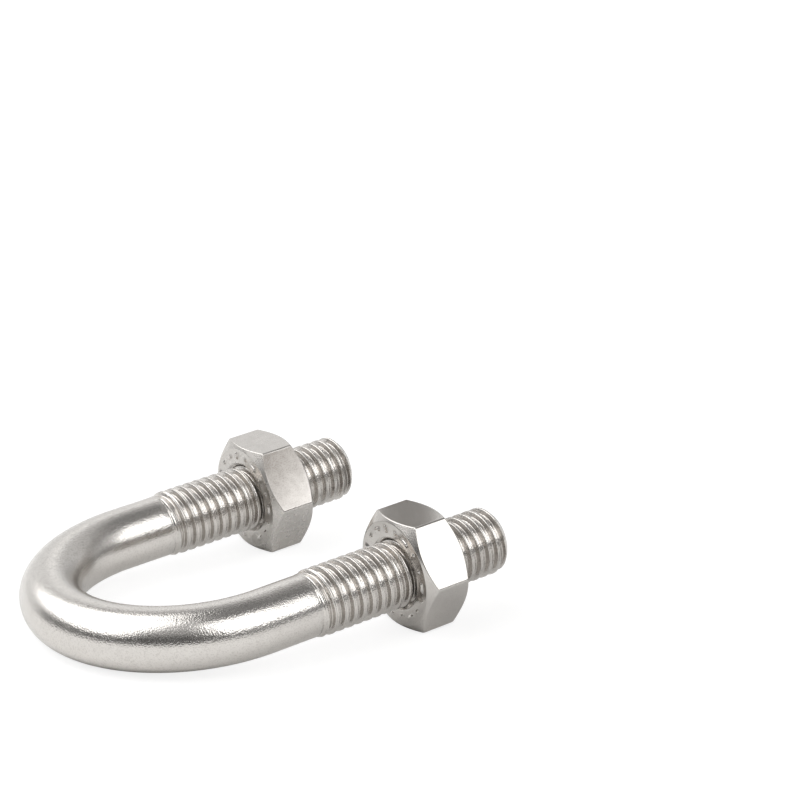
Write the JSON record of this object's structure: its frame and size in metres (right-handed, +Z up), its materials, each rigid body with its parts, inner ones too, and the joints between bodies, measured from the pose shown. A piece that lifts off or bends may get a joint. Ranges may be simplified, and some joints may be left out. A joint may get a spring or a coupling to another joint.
{
  "type": "u-bolt with hex nuts",
  "caption": "Round-bar U-bolt with rolled threads on both legs and a hexagon nut on each leg, in plain stainless steel.",
  "frame": {"origin": "on the surface that the part lies on, midway along its length and midway between its legs", "axes": "+X from the bend towards the ends of the legs, +Y from the right leg to the left leg, +Z up; the legs rise 4.83 degrees above +X, because the nuts are wider than the rod"},
  "size_m": [0.0508, 0.0466, 0.0134],
  "materials": {
    "rod_steel": "satin rolled stainless, light warm grey with fine sandy mottling",
    "nut_steel": "satin cold-formed stainless, a little darker than the rod, softly rounded edges"
  },
  "bodies": {
    "rod": {"threaded_u_rod": "rod_steel"},
    "left_nut": {"left_nut": "nut_steel"},
    "right_nut": {"right_nut": "nut_steel"}
  },
  "joints": [
    {"name": "left_nut_travel", "type": "slide", "parent": "rod", "child": "left_nut", "axis": [0.9964, 0, 0.0842], "range_m": [-0.01125, 0.0075]},
    {"name": "right_nut_travel", "type": "slide", "parent": "rod", "child": "right_nut", "axis": [0.9964, 0, 0.0842], "range_m": [-0.01125, 0.0075]}
  ]
}
